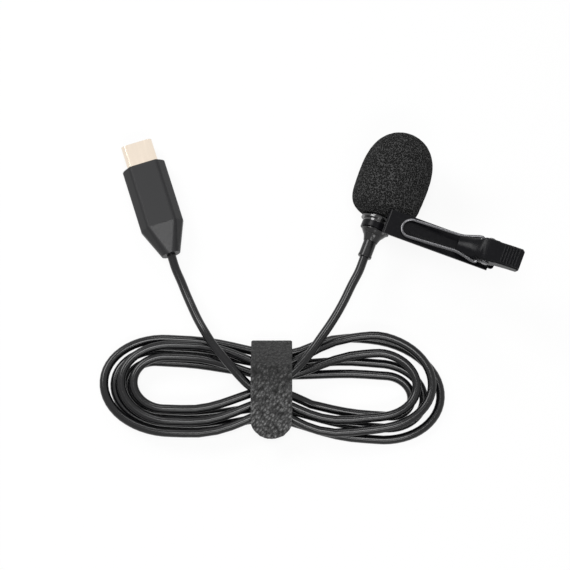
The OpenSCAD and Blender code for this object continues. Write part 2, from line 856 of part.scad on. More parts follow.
mic_exit = with_z(in_hank([mic_x, mic_y + sleeve_back]), mic_z);
mic_exit_lead = with_z(in_hank([mic_x, mic_y + sleeve_back - lead_in]), mic_z - 0.1);
plug_exit = with_z(in_hank(plug_at), barrel_h / 2);
plug_lead_at = [plug_at[0] + lead_in * sin(plug_turn), plug_at[1] - lead_in * cos(plug_turn)];
plug_exit_lead = with_z(in_hank(plug_lead_at), barrel_h / 2);

module cord_mic_run() {
    path = concat(
        [mic_exit, mic_exit_lead], mic_run,
        [hank_out + hank_out_way * 0.5, hank_out]
    );
    color(INK) hank_frame() tube(path, cord_d, 8);
}

module cord_plug_run() {
    path = concat(
        [plug_exit, plug_exit_lead], plug_run,
        [hank_in - hank_in_way * 0.5, hank_in]
    );
    color(INK) hank_frame() tube(path, cord_d, 8);
}

module cord_hank() {
    report_hank();
    color(INK) hank_frame() tube(hank_path(24), cord_d, 6);
}

// Sides of both layers under the tie, in the hank's second axis
under_tie = [for (p = hank_path(240)) if (abs(p[0]) < tie_w / 2 + 0.5) p];
layers_meet = cord_d / 2 + layer_step / 2 + tie_lift;
lower_sides = [for (p = under_tie) if (p[2] < layers_meet) p[1]];
upper_sides = [for (p = under_tie) if (p[2] >= layers_meet) p[1]];

// Outline of the bundle under the tie, in the hank's second axis and height;
// past lets it run on straight, over the near side
module bundle(grow, past) {
    r = cord_d / 2 + side_gap + grow;
    low = tie_t + cord_d / 2 + side_gap;
    upper = cord_d / 2 + layer_step + tie_lift;
    near_top = [min(upper_sides), upper];
    hull() {
        for (v = [min(lower_sides), max(lower_sides)]) translate([v, low]) circle(r);
        for (v = [min(upper_sides), max(upper_sides)]) translate([v, upper]) circle(r);
        for (p = run_crossings) translate(p) circle(r);
        translate(near_top + past * unit(near_top - run_crossings[1])) circle(r);
    }
}

module tie_band(inner, outer, width, past) {
    rotate([90, 0, 90]) linear_extrude(height = width, center = true) difference() {
        bundle(outer, past);
        bundle(inner, past);
    }
}

// The strap's wide free end laps over the band and ends in a rounded tongue
module cable_tie() {
    tip = min(upper_sides) - tongue_past - 0.8;
    beyond = max(lower_sides) + 2 * cord_d;
    lap_low = 2.6;
    lap_high = 20;
    color(STRAP)
        hank_frame() {
            tie_band(0, tie_t, band_w, 0);
            intersection() {
                tie_band(tie_t - skin, 2 * tie_t, tie_w, tongue_past);
                translate([0, 0, lap_low]) linear_extrude(height = lap_high)
                    polygon(concat(
                        [[tie_w / 2, beyond], [-tie_w / 2, beyond]],
                        [
                            for (a = [0:10:180])
                                [-tie_w / 2 * cos(a), tip + tongue_round * (1 - sin(a))]
                        ]
                    ));
            }
        }
}

// ---------- plug ----------

// A quarter of the barrel's outline: flat, sloping facet and side, rounded
function barrel_quarter(r) =
    let (flat_at = [barrel_flat, barrel_h / 2 - barrel_r])
    let (side_at = [barrel_w / 2 - barrel_r, barrel_side])
    let (facet = side_at - flat_at)
    let (a = atan2(facet[0], -facet[1]))
    concat(
        [for (k = [0:4]) flat_at + r * [cos(90 + (a - 90) * k / 4), sin(90 + (a - 90) * k / 4)]],
        [for (k = [0:4]) side_at + r * [cos(a - a * k / 4), sin(a - a * k / 4)]]
    );

function barrel_outline(inset) =
    let (q = barrel_quarter(barrel_r - inset))
    let (n = len(q) - 1)
    concat(
        [for (i = [0:n]) [q[i][0], q[i][1]]],
        [for (i = [n:-1:0]) [q[i][0], -q[i][1]]],
        [for (i = [0:n]) [-q[i][0], -q[i][1]]],
        [for (i = [n:-1:0]) [-q[i][0], q[i][1]]]
    );

module stadium(w, h) {
    square([w - h, h], center = true);
    for (side = [-1, 1]) translate([side * (w - h) / 2, 0]) circle(h / 2);
}

module plug_barrel() {
    color(INK)
        plug_frame() difference() {
            union() {
                prism_y(tail_len, barrel_len - barrel_chamfer) polygon(barrel_outline(0));
                hull() {
                    prism_y(plug_front - barrel_chamfer - skin, skin)
                        polygon(barrel_outline(0));
                    prism_y(plug_front - skin, skin) polygon(barrel_outline(barrel_chamfer));
                }
            }
            prism_y(tail_len - 1, barrel_len + 2) polygon(barrel_outline(barrel_wall));
        }
}

module plug_nose() {
    color(INK)
        plug_frame() difference() {
            prism_y(plug_front - nose_t - 0.2, nose_t)
                polygon(barrel_outline(barrel_wall + fit));
            prism_y(plug_front - nose_t - 1, nose_t + 2)
                stadium(shell_w + 2 * fit, shell_h + 2 * fit);
        }
}

module plug_tail() {
    wall = 0.9;
    color(INK)
        plug_frame() difference() {
            union() {
                hull() {
                    prism_y(tail_len - skin, skin) polygon(barrel_outline(0));
                    disc(0, tail_d / 2, skin);
                }
                prism_y(tail_len - skin, tail_spigot + skin)
                    polygon(barrel_outline(barrel_wall + fit));
            }
            hull() {
                prism_y(tail_len - skin, skin) polygon(barrel_outline(barrel_r - skin));
                disc(2, tail_d / 2 - wall, skin);
            }
            prism_y(tail_len - 0.1, tail_spigot + 1) polygon(barrel_outline(barrel_r - skin));
            disc(-1, cord_d / 2 + fit, tail_len);
        }
}

module plug_cord_end() {
    color(INK)
        plug_frame() disc(0, cord_d / 2, plug_cord_in);
}

module plug_crimp() {
    color(STEEL)
        plug_frame() pipe(plug_cord_in - 1.4, cord_d / 2 + 0.4, cord_d / 2 + fit, 1.2);
}

module plug_leads() {
    color(COPPER)
        plug_frame() for (i = [-1.5:1:1.5])
            translate([i * 0.55, 0, 0])
                disc(plug_cord_in, 0.22, pcb_back - plug_cord_in);
}

module usb_shell() {
    color(GOLD)
        plug_frame() difference() {
            prism_y(shell_back, shell_in + shell_out) stadium(shell_w, shell_h);
            prism_y(shell_back - 1, shell_in + shell_out + 2)
                stadium(shell_w - 2 * shell_wall, shell_h - 2 * shell_wall);
        }
}

module usb_insulator() {
    recess = 0.5;
    inner_w = shell_w - 2 * shell_wall - 2 * fit;
    inner_h = shell_h - 2 * shell_wall - 2 * fit;
    color(INK)
        plug_frame() difference() {
            prism_y(shell_back, shell_in + shell_out - recess) stadium(inner_w, inner_h);
            translate([0, shell_back + 4, 0]) prism_y(0, shell_in + shell_out)
                square([slot_w, slot_h], center = true);
        }
}

module usb_contacts() {
    long = 4.2;
    color(COPPER)
        plug_frame() for (side = [-1, 1])
            for (i = [0:contact_count - 1])
                translate([
                    (i - (contact_count - 1) / 2) * contact_step,
                    shell_back + 4 + long / 2,
                    side * (slot_h - contact_t) / 2
                ])
                    cube([contact_w, long, contact_t], center = true);
}

module usb_latches() {
    color(STEEL)
        plug_frame() for (side = [-1, 1])
            translate([side * (slot_w / 2 - 0.1), shell_back + 6, 0])
                cube([0.2, 4, 0.6], center = true);
}

module plug_board() {
    color(BOARD)
        plug_frame() translate([-pcb_w / 2, pcb_back, -pcb_t / 2])
            cube([pcb_w, pcb_len, pcb_t]);
}

module codec_chip() {
    color(INK)
        plug_frame() translate([-1.5, pcb_back + 5, pcb_t / 2]) cube([3, 3, 0.8]);
}

module board_parts() {
    color(COPPER)
        plug_frame() {
            for (i = [0:3])
                translate([-2.9 + i * 1.6, pcb_back + 2.2, pcb_t / 2]) cube([0.5, 1, 0.5]);
            for (side = [-1, 1])
                translate([side * 2.6 - 0.25, pcb_back + 6, pcb_t / 2]) cube([0.5, 1, 0.5]);
            translate([-1.25, pcb_back + 5, -pcb_t / 2 - 0.7]) cube([2.5, 2, 0.7]);
        }
}

// ---------- all nodes ----------

windscreen();
grille_cap();
dust_mesh();
capsule();
capsule_gasket();
capsule_board();
mic_housing();
stop_flange();
rear_collar();
cable_anchor();
mic_leads();
mic_cord_end();
mic_strain_relief();
clip_base();
clip_lever();
bail_wire();
pivot_pin();
torsion_spring();
cord_mic_run();
cord_hank();
cord_plug_run();
cable_tie();
plug_barrel();
plug_nose();
plug_tail();
plug_cord_end();
plug_crimp();
plug_leads();
usb_shell();
usb_insulator();
usb_contacts();
usb_latches();
plug_board();
codec_chip();
board_parts();
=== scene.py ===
"""Looks of a clip-on lavalier microphone with its hanked cable, tie and plug."""

import math

import bmesh
import bpy
from mathutils import Matrix, Vector, noise


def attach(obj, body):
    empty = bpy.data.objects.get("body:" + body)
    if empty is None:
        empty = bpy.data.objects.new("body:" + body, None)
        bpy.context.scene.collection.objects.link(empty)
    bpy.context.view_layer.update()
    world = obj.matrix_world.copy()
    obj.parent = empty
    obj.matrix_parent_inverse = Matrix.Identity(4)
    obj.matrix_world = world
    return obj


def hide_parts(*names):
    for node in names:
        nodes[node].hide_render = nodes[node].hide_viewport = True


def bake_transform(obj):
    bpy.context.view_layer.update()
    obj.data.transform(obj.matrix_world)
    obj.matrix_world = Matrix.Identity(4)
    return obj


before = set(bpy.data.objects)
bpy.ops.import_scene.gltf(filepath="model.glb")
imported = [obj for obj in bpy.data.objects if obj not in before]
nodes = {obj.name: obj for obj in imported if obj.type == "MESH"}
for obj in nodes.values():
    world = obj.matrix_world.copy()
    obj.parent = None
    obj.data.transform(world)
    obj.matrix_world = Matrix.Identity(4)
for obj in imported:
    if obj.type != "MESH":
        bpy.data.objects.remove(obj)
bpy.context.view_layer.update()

MM = 0.001
MIC = Vector((-14.35, -7.375, 9.3))      # middle of the stop flange, on the microphone's axis
PIVOT = Vector((15.05, -8.825, 23.5))    # the lever's axis, along Y, in the clip's middle plane
HANK_AT = Vector((-24.6, -58.2, 0))      # middle of the hank
HANK_ANGLE = math.radians(20.8)          # the hank's long axis, turned about Z
PLUG_AT = Vector((-62.2, -33.5, 3.8))    # where the cord enters the plug's tail
PLUG_ANGLE = math.radians(38.5)          # the plug's axis, turned about Z

CAMERA_TILT = math.radians(14)           # off the vertical
CAMERA_TURN = math.radians(20.8)         # about Z
CAMERA_AIM = Vector((-31.75, -29.67, 0))
CAMERA_FAR = 0.5                         # from the aim, in metres


# ---------- camera ----------

def add_camera():
    """The photograph's camera: nearly from above, with a long lens."""
    ahead = Vector((-math.sin(CAMERA_TURN), math.cos(CAMERA_TURN), 0))
    right = Vector((math.cos(CAMERA_TURN), math.sin(CAMERA_TURN), 0))
    back = -math.sin(CAMERA_TILT) * ahead + Vector((0, 0, math.cos(CAMERA_TILT)))
    up = math.cos(CAMERA_TILT) * ahead + Vector((0, 0, math.sin(CAMERA_TILT)))
    place = Matrix((right, up, back)).transposed().to_4x4()
    place.translation = CAMERA_AIM * MM + back * CAMERA_FAR
    data = bpy.data.cameras.new("camera")
    data.lens, data.sensor_width = 120, 36
    data.clip_start, data.clip_end = 0.01, 20
    camera = bpy.data.objects.new("camera", data)
    camera.matrix_world = place
    bpy.context.scene.collection.objects.link(camera)
    bpy.context.scene.camera = camera


add_camera()


# ---------- materials ----------

def shader(name, color, roughness, **sockets):
    """A material with one Principled shader, and its node tree's helpers."""
    mat = bpy.data.materials.new(name)
    mat.use_nodes = True
    tree = mat.node_tree
    bsdf = tree.nodes["Principled BSDF"]
    bsdf.inputs["Base Color"].default_value = (*color, 1)
    bsdf.inputs["Roughness"].default_value = roughness
    for key, value in sockets.items():
        bsdf.inputs[key.replace("_", " ")].default_value = value
    coords = tree.nodes.new("ShaderNodeTexCoord")
    return mat, tree, bsdf, coords.outputs["Object"]


def texture(tree, kind, vector, **settings):
    """A texture node of a kind, with its sockets or properties set by name."""
    node = tree.nodes.new("ShaderNodeTex" + kind)
    tree.links.new(vector, node.inputs["Vector"])
    for key, value in settings.items():
        if key in node.inputs:
            node.inputs[key].default_value = value
        else:
            setattr(node, key, value)
    return node


def ramp(tree, value, stops):
    """Maps a value through colour stops (position, grey or colour)."""
    node = tree.nodes.new("ShaderNodeValToRGB")
    tree.links.new(value, node.inputs["Fac"])
    band = node.color_ramp
    while len(band.elements) < len(stops):
        band.elements.new(0.5)
    for element, (place, color) in zip(band.elements, stops):
        element.position = place
        element.color = (color, color, color, 1) if isinstance(color, float) else (*color, 1)
    return node.outputs["Color"]


def bump(tree, bsdf, height, distance, strength=1.0, edge=0.0):
    """Bumps the surface; edge rounds sharp edges by that radius."""
    node = tree.nodes.new("ShaderNodeBump")
    node.inputs["Strength"].default_value = strength
    node.inputs["Distance"].default_value = distance
    tree.links.new(height, node.inputs["Height"])
    if edge:
        soft = tree.nodes.new("ShaderNodeBevel")
        soft.samples = 6
        soft.inputs["Radius"].default_value = edge
        tree.links.new(soft.outputs["Normal"], node.inputs["Normal"])
    tree.links.new(node.outputs["Normal"], bsdf.inputs["Normal"])


def drawn_out(tree, vector, along, stretch):
    """Texture space turned about Z, then stretched along its own Y."""
    turn = tree.nodes.new("ShaderNodeMapping")
    turn.vector_type = "TEXTURE"
    turn.inputs["Rotation"].default_value = (0, 0, along)
    turn.inputs["Scale"].default_value = (1, stretch, 1)
    tree.links.new(vector, turn.inputs["Vector"])
    return turn.outputs["Vector"]


# the strap's painted shade between hook bars and its painted lightening grow from the smooth end
# to the tongue
STRAP_SMOOTH_AT, STRAP_TONGUE_AT = 8, -6    # across the hank, from its middle


# sets how strongly the strap's painted shade and painted light show along it
def strap_toward_tongue(tree, vector):
    """From 0 at the strap's smooth end to 1 at its tongue, down the hank's own Y."""
    place = tree.nodes.new("ShaderNodeMapping")
    place.vector_type = "TEXTURE"
    place.inputs["Location"].default_value = HANK_AT * MM
    place.inputs["Rotation"].default_value = (0, 0, HANK_ANGLE)
    parts = tree.nodes.new("ShaderNodeSeparateXYZ")
    span = tree.nodes.new("ShaderNodeMapRange")
    span.inputs["From Min"].default_value = STRAP_SMOOTH_AT * MM
    span.inputs["From Max"].default_value = STRAP_TONGUE_AT * MM
    tree.links.new(vector, place.inputs["Vector"])
    tree.links.new(place.outputs["Vector"], parts.inputs["Vector"])
    tree.links.new(parts.outputs["Y"], span.inputs["Value"])
    return span.outputs["Result"]


def weighed(tree, first, share, second):
    """first times share, plus second."""
    node = tree.nodes.new("ShaderNodeMath")
    node.operation = "MULTIPLY_ADD"
    node.inputs[1].default_value = share
    tree.links.new(first, node.inputs[0])
    tree.links.new(second, node.inputs[2])
    return node.outputs[0]


def plain(name, color, roughness, spread=0.06, scale=900.0, edge=0.0, depth=0.00002, **sockets):
    """A moulded, painted or plated finish: faint mottle in gloss and a fine grain."""
    mat, tree, bsdf, where = shader(name, color, roughness, **sockets)
    cloud = texture(tree, "Noise", where, Scale=scale, Detail=4.0)
    tree.links.new(
        ramp(tree, cloud.outputs["Fac"], [(0.3, roughness - spread), (0.7, roughness + spread)]),
        bsdf.inputs["Roughness"])
    fine = texture(tree, "Noise", where, Scale=scale * 5, Detail=2.0)
    bump(tree, bsdf, fine.outputs["Fac"], depth, 0.5, edge)
    return mat


def foam_finish():
    """Matt foam: pores of two sizes with painted shade in them, and painted highlights on the
    cell walls between them.
    """
    mat, tree, bsdf, where = shader("foam", (0.02, 0.02, 0.021), 0.95)
    bsdf.inputs["Specular IOR Level"].default_value = 0.03
    cells = texture(tree, "Voronoi", where, Scale=2700.0, Randomness=1.0)
    small = texture(tree, "Voronoi", where, Scale=5600.0, Randomness=1.0)
    mix = weighed(tree, small.outputs["Distance"], 0.5, cells.outputs["Distance"])
    # the colour ramp paints shade into the pores and a highlight onto the cell walls
    tree.links.new(
        ramp(tree, mix, [(0.15, 0.003), (0.5, 0.01), (0.8, 0.02), (0.98, 0.075)]),
        bsdf.inputs["Base Color"])
    bump(tree, bsdf, mix, 0.0003, 0.9)
    return mat


def strap_finish():
    """Hook-and-loop strap: fuzz, and short slanted hook bars with painted highlights on their
    tops and painted shade between them, the whole colour painted lighter towards the tongue.
    """
    mat, tree, bsdf, where = shader("strap", (0.03, 0.03, 0.031), 0.9)
    bsdf.inputs["Sheen Weight"].default_value = 0.12
    bsdf.inputs["Specular IOR Level"].default_value = 0.12
    fuzz = texture(tree, "Noise", where, Scale=3500.0, Detail=6.0, Roughness=0.7)
    bars = texture(tree, "Voronoi", drawn_out(tree, where, math.radians(-12), 1.8),
                   Scale=1500.0, Randomness=0.8)
    toward_tongue = strap_toward_tongue(tree, where)
    # painted shade in the gaps between the hook bars, stronger towards the tongue
    shade = ramp(tree, toward_tongue, [(0.1, 0.3), (0.35, 0.45), (0.9, 0.55)])
    dark = tree.nodes.new("ShaderNodeMath")
    dark.operation = "MULTIPLY"
    tree.links.new(bars.outputs["Distance"], dark.inputs[0])
    tree.links.new(shade, dark.inputs[1])
    mix = weighed(tree, dark.outputs[0], -1.0, fuzz.outputs["Fac"])
    # painted highlight on the bar tops
    light = ramp(tree, mix, [(0.05, 0.012), (0.3, 0.06), (0.6, 0.24)])
    # the whole strap painted lighter towards the tongue, as if lit from the front
    glow = ramp(tree, toward_tongue, [(0.1, 0.34), (0.9, 1.5)])
    hooks_and_painted_light = tree.nodes.new("ShaderNodeVectorMath")
    hooks_and_painted_light.operation = "MULTIPLY"
    tree.links.new(light, hooks_and_painted_light.inputs[0])
    tree.links.new(glow, hooks_and_painted_light.inputs[1])
    tree.links.new(hooks_and_painted_light.outputs["Vector"], bsdf.inputs["Base Color"])
    bump(tree, bsdf, mix, 0.0004, 0.9)
    return mat


def brushed(name, color, roughness, along=0.0, edge=0.0):
    """Metal drawn along a direction: fine streaks in gloss and height."""
    mat, tree, bsdf, where = shader(name, color, roughness, Metallic=1.0)
    drawn = drawn_out(tree, where, along, 25.0)
    streaks = texture(tree, "Noise", drawn, Scale=5000.0, Detail=3.0)
    tree.links.new(
        ramp(tree, streaks.outputs["Fac"], [(0.3, roughness - 0.05), (0.7, roughness + 0.07)]),
        bsdf.inputs["Roughness"])
    bump(tree, bsdf, streaks.outputs["Fac"], 0.00001, 0.4, edge)
    return mat


MATERIALS = {
    "foam": foam_finish(),
    "strap": strap_finish(),
    "head": plain("head_metal", (0.003, 0.003, 0.0035), 0.15, spread=0.03, scale=700.0,
                  edge=0.00006, depth=0.000006, Specular_IOR_Level=0.8),
    "bell": plain("bell_metal", (0.003, 0.003, 0.0035), 0.2, spread=0.03, scale=700.0,
                  edge=0.00006, depth=0.000006, Specular_IOR_Level=0.4),
    "clip": plain("clip_metal", (0.003, 0.003, 0.004), 0.24, spread=0.05, scale=1200.0,
                  edge=0.00015, Specular_IOR_Level=0.1),
    "wire": plain("wire", (0.11, 0.11, 0.115), 0.22, spread=0.04, scale=1500.0, Metallic=1.0),
    "sleeve": plain("sleeve", (0.004, 0.004, 0.0045), 0.24, spread=0.03, scale=1300.0,
                    edge=0.00008, depth=0.000002, Specular_IOR_Level=0.33),
    "cord": plain("cord", (0.003, 0.003, 0.0035), 0.2, spread=0.03, scale=1600.0,
                  depth=0.000002, Specular_IOR_Level=0.33),
    "plug": plain("plug_metal", (0.013, 0.013, 0.014), 0.4, spread=0.03, scale=2500.0,
                  edge=0.00012, depth=0.000006, Specular_IOR_Level=0.28),
    "plastic": plain("plug_plastic", (0.009, 0.009, 0.01), 0.5, scale=1500.0,
                     edge=0.00005, Specular_IOR_Level=0.2),
    "shell": brushed("shell_metal", (0.86, 0.75, 0.63), 0.12, PLUG_ANGLE, edge=0.00012),
    "contact": brushed("contact_gold", (0.95, 0.72, 0.32), 0.22, PLUG_ANGLE),
    "steel": brushed("spring_steel", (0.62, 0.62, 0.64), 0.26, edge=0.00004),
    "grille": brushed("grille_metal", (0.22, 0.22, 0.23), 0.34, edge=0.00006),
    "can": brushed("capsule_can", (0.78, 0.78, 0.8), 0.25, edge=0.00005),
    "copper": brushed("copper", (0.85, 0.5, 0.3), 0.3),
    "brass": brushed("ferrule", (0.75, 0.66, 0.45), 0.28, edge=0.00005),
    "board": plain("board", (0.012, 0.09, 0.035), 0.32, spread=0.08, scale=800.0),
    "parts": plain("solder_parts", (0.28, 0.2, 0.13), 0.45, spread=0.08, scale=1500.0),
    "cloth": plain("mesh_cloth", (0.02, 0.02, 0.02), 0.9, spread=0.05, scale=4000.0,
                   depth=0.00005),
    "rubber": plain("gasket", (0.02, 0.02, 0.02), 0.7, spread=0.08, scale=2000.0),
}

FINISHES = {
    "windscreen": "foam", "grille_cap": "grille", "dust_mesh": "cloth", "capsule": "can",
    "capsule_gasket": "rubber", "capsule_board": "board", "mic_housing": "head",
    "stop_flange": "head", "rear_collar": "bell", "cable_anchor": "brass",
    "mic_leads": "copper", "mic_cord_end": "cord", "mic_strain_relief": "sleeve",
    "clip_base": "clip", "clip_lever": "clip", "bail_wire": "wire", "pivot_pin": "wire",
    "torsion_spring": "steel", "cord_mic_run": "cord", "cord_hank": "cord",
    "cord_plug_run": "cord", "cable_tie": "strap", "plug_barrel": "plug",
    "plug_nose": "plastic", "plug_tail": "plug", "plug_cord_end": "cord",
    "plug_crimp": "brass", "plug_leads": "copper", "usb_shell": "shell",
    "usb_insulator": "plastic", "usb_contacts": "contact", "usb_latches": "steel",
    "plug_board": "board", "codec_chip": "plastic", "board_parts": "parts",
}
for name, finish in FINISHES.items():
    slots = nodes[name].data.materials
    slots.clear()
    slots.append(MATERIALS[finish])


# ---------- mesh helpers ----------

def add_mesh(name, points, faces, finish):
    """A smooth-shaded mesh object from points in millimetres."""
    mesh = bpy.data.meshes.new(name)
    mesh.from_pydata([Vector(p) * MM for p in points], [], faces)
    mesh.materials.append(MATERIALS[finish])
    mesh.polygons.foreach_set("use_smooth", [True] * len(mesh.polygons))
    mesh.update()
    piece = bpy.data.objects.new(name, mesh)
    bpy.context.scene.collection.objects.link(piece)
    return piece


def smooth_step(k):
    """From 0 at 0 to 1 at 1, level at both ends."""
    k = min(max(k, 0.0), 1.0)
    return k * k * (3 - 2 * k)


# ---------- cord ----------

HANK_TURN = Matrix.Rotation(HANK_ANGLE, 3, "Z")
CORD_D = 2.3
TURN_STEP, LAYER_STEP, TURNS, CLIMB_AT, FIRST_STEP, BULGE = 3.15, 2.8, 5, 2.5, 0.25, 0.3
HANK_REACH, UPPER_IN, LOBE_R, WAIST_HALF, UPPER_WAIST = 30.8, 1.9, 3.7, 1.6, -0.9
KNEE, PINCH, ROUNDING = 0.8, 0.13, 0.45
SHIFT, WAIST_SHIFT, END_SHIFT, LEAN = 0.4, 0.6, 0.1, 1.6
FAN_LOW, FAN_UP, FAN_START = 1.0, 0.7, 5.2
UPPER_RISE, RISE_FROM, RISE_OVER = 3.2, 6.0, 24.0
TIE_LIFT, TIE_LIFT_W = 1.25, 14
START_U, END_U = 13, 9
SIDE_SHARE, ARC_SHARE = 5 / 24, 7 / 24
MIC_RUN = [
    (20.7, 27, 8.9), (19, 23.5, 8.5), (17.1, 20, 8.1), (15.1, 16.8, 7.8),
    (13, 13.8, 7.6), (10.8, 10.6, 7.6), (8.4, 7.4, 7.8), (5.8, 4.7, 7.9),
    (3, 2.7, 7.8), (0.5, 1.7, 7.3), (-1.8, 0.8, 5.8), (-3.8, 0, 5.1)]
PLUG_RUN = [
    (-23.6, 29, 4.1), (-22.2, 25.5, 4.6), (-20.7, 22, 5.3), (-19.1, 18.5, 6),
    (-17.3, 15.2, 6.8), (-15.4, 12.1, 7.2), (-13.2, 9.2, 7.4), (-10.8, 6.3, 7.6),
    (-8.4, 3.5, 7.7), (-5.8, 0.9, 7.7), (-3.2, -0.5, 7.7), (-0.5, -1.1, 7.7),
    (2.2, -0.8, 6.4), (4.8, -1.1, 4.4), (7.6, -2, 2.8)]
MIC_EXIT = MIC + Vector((0, -10.25, 0))
PLUG_WAY = Vector((-math.sin(PLUG_ANGLE), math.cos(PLUG_ANGLE), 0))
LEAD_IN = 4              # straight stretch at the plug and at the sleeve
HANK_STEPS, RUN_STEPS = 450, 5


def from_hank(p):
    """A point of the hank's own frame, in the part's frame."""
    return HANK_AT + HANK_TURN @ Vector(p)


def hank_point(t):
    """A point of the hank after t turns, in its own frame."""
    f = t - math.floor(t)
    if t <= CLIMB_AT:
        out = TURN_STEP * (FIRST_STEP + t)
    elif t <= CLIMB_AT + 0.5:
        out = (TURN_STEP * (FIRST_STEP + CLIMB_AT)
               + BULGE * math.sin(2 * math.pi * (t - CLIMB_AT)) ** 2)
    else:
        out = TURN_STEP * (FIRST_STEP + 2 * CLIMB_AT + 0.5 - t)
    fan = FAN_LOW if t < CLIMB_AT + 0.25 else FAN_UP
    fan *= smooth_step((f - 0.12) / 0.29 if f < 0.41 else (0.475 - f) / 0.065)
    out += fan * max(out - FAN_START, 0)
    reach = HANK_REACH - UPPER_IN * smooth_step((t - CLIMB_AT - 0.3) / 0.3) - ROUNDING * out
    waist = WAIST_HALF + (UPPER_WAIST - WAIST_HALF) * smooth_step(4 * (t - CLIMB_AT) - 1)
    half = SIDE_SHARE / 2

    def on_side(c, side):
        k = min(abs(c) / (KNEE * reach), 1)
        widening = LOBE_R - waist + PINCH * out
        slope = math.copysign(widening * 6 * k * (1 - k) / (KNEE * reach), c)
        rho = waist + out * (1 - PINCH) + widening * smooth_step(k)
        return c - slope * rho, side * rho * math.sqrt(1 - slope * slope)

    def on_lobe(end, angle):
        angle = math.radians(angle)
        return (end * reach + (LOBE_R + out * (1 + ROUNDING)) * math.cos(angle),
                (LOBE_R + out) * math.sin(angle))

    if f < half:
        u, v = on_side(reach * f / half, -1)
    elif f < half + ARC_SHARE:
        u, v = on_lobe(1, -90 + 180 * (f - half) / ARC_SHARE)
    elif f < half + ARC_SHARE + SIDE_SHARE:
        u, v = on_side(reach * (1 - 2 * (f - half - ARC_SHARE) / SIDE_SHARE), 1)
    elif f < 1 - half:
        u, v = on_lobe(-1, 90 + 180 * (f - half - ARC_SHARE - SIDE_SHARE) / ARC_SHARE)
    else:
        u, v = on_side(reach * (f - 1) / half, -1)
    layer = smooth_step(2 * (t - CLIMB_AT))
    near = math.exp(-(u / TIE_LIFT_W) ** 2)
    rise = UPPER_RISE * smooth_step((u - RISE_FROM) / RISE_OVER)
    v = v + SHIFT + WAIST_SHIFT * near - LEAN * u / HANK_REACH + layer * rise
    return Vector((u + END_SHIFT, v, CORD_D / 2 + LAYER_STEP * layer + TIE_LIFT * near))


def flowing(points, steps):
    """A smooth line through points."""
    ends = [2 * points[0] - points[1]] + points + [2 * points[-1] - points[-2]]
    line = []
    for p, q, r, s in zip(ends, ends[1:], ends[2:], ends[3:]):
        for i in range(steps):
            k = i / steps
            line.append(0.5 * (2 * q + (r - p) * k + (2 * p - 5 * q + 4 * r - s) * k * k
                               + (3 * q - p - 3 * r + s) * k ** 3))
    return line + [points[-1]]


def cord_line():
    """The cord's middle from the microphone's sleeve to the plug's tail."""
    start = SIDE_SHARE / 2 * START_U / HANK_REACH
    end = TURNS - SIDE_SHARE / 2 * END_U / (HANK_REACH - UPPER_IN)
    loops = [hank_point(start + (end - start) * i / HANK_STEPS) for i in range(HANK_STEPS + 1)]
    head = loops[0] - CORD_D * (loops[1] - loops[0]).normalized()
    tail = loops[-1] + CORD_D * (loops[-1] - loops[-2]).normalized()
    mic = [MIC_EXIT, MIC_EXIT + Vector((0, -LEAD_IN, -0.1))] + [from_hank(p) for p in MIC_RUN]
    plug = [PLUG_AT, PLUG_AT - LEAD_IN * PLUG_WAY] + [from_hank(p) for p in PLUG_RUN]
    loops = [from_hank(p) for p in loops]
    mic = flowing(mic + [from_hank(tail)], RUN_STEPS)
    plug = flowing(plug + [from_hank(head)], RUN_STEPS)
    return mic + loops[::-1] + plug[::-1]


def add_cord():
    """The cord as one round curve, and its length in metres."""
    line = cord_line()
    curve = bpy.data.curves.new("cord", "CURVE")
    curve.dimensions = "3D"
    curve.bevel_depth = CORD_D / 2 * MM
    curve.bevel_resolution = 5
    spline = curve.splines.new("POLY")
    spline.points.add(len(line) - 1)
    for point, place in zip(spline.points, line):
        point.co = (*(place * MM), 1)
    spline.use_smooth = True
    curve.materials.append(MATERIALS["cord"])
    cord = bpy.data.objects.new("cord", curve)
    bpy.context.scene.collection.objects.link(cord)
    length = sum((b - a).length for a, b in zip(line, line[1:])) * MM
    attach(cord, "microphone")
    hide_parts("cord_mic_run", "cord_hank", "cord_plug_run")
    return cord, length


cord, cord_length = add_cord()


# ---------- windscreen ----------

FOAM_START = 1.0                                  # from the flange's middle
FOAM_H, FOAM_R, FOAM_WIDE_AT = 24.0, 9.3, 10.2    # height, radius, height of the widest place
FOAM_BORE, FOAM_DEPTH = 3.55, 12.9                # the bore's radius and depth
FOAM_FOOT, FOAM_LIP = 0.3, 0.5                    # rounding round the open end
FOAM_FINE, FOAM_ROW, FOAM_SIDES = 2000, 0.27, 190
PORE_SCALE, PORE_REACH, PORE_DEPTH = 1.8, 0.42, 0.13
LUMP_SCALE, LUMP_HEIGHT = 1.1, 0.05


def foam_profile(s):
    """The foam's radius at a height s above its open end."""
    if s > FOAM_WIDE_AT:
        k = (s - FOAM_WIDE_AT) / (FOAM_H - FOAM_WIDE_AT)
        return FOAM_R * max(1 - k ** 2.7, 0) ** (1 / 2.1)
    k = (FOAM_WIDE_AT - s) / FOAM_WIDE_AT
    return FOAM_R * (1 - 0.03 * k) * max(1 - k ** 5, 0) ** (1 / 3.4)


def foam_skin():
    """Rows (radius, height) up the foam's outside, at nearly even steps along it."""
    def at(i):
        s = FOAM_FOOT + (FOAM_H - FOAM_FOOT) * (1 - math.cos(math.pi * i / FOAM_FINE)) / 2
        return foam_profile(s), s

    fine = [at(i) for i in range(FOAM_FINE + 1)]
    rows, walked, last = [(fine[0][0] - FOAM_LIP, 0.0), fine[0]], 0.0, fine[0]
    for p in fine[1:-1]:
        walked += math.dist(p, last)
        last = p
        if walked >= FOAM_ROW:
            rows.append(p)
            walked = 0.0
    return rows


def pitted(p, out):
    """A point of the foam's skin, sunk where a pore opens."""
    near = noise.voronoi(p * PORE_SCALE)[0]
    pore = 1 - smooth_step(near[0] / PORE_REACH)
    return p + out * (-PORE_DEPTH * pore + LUMP_HEIGHT * noise.noise(p * LUMP_SCALE))


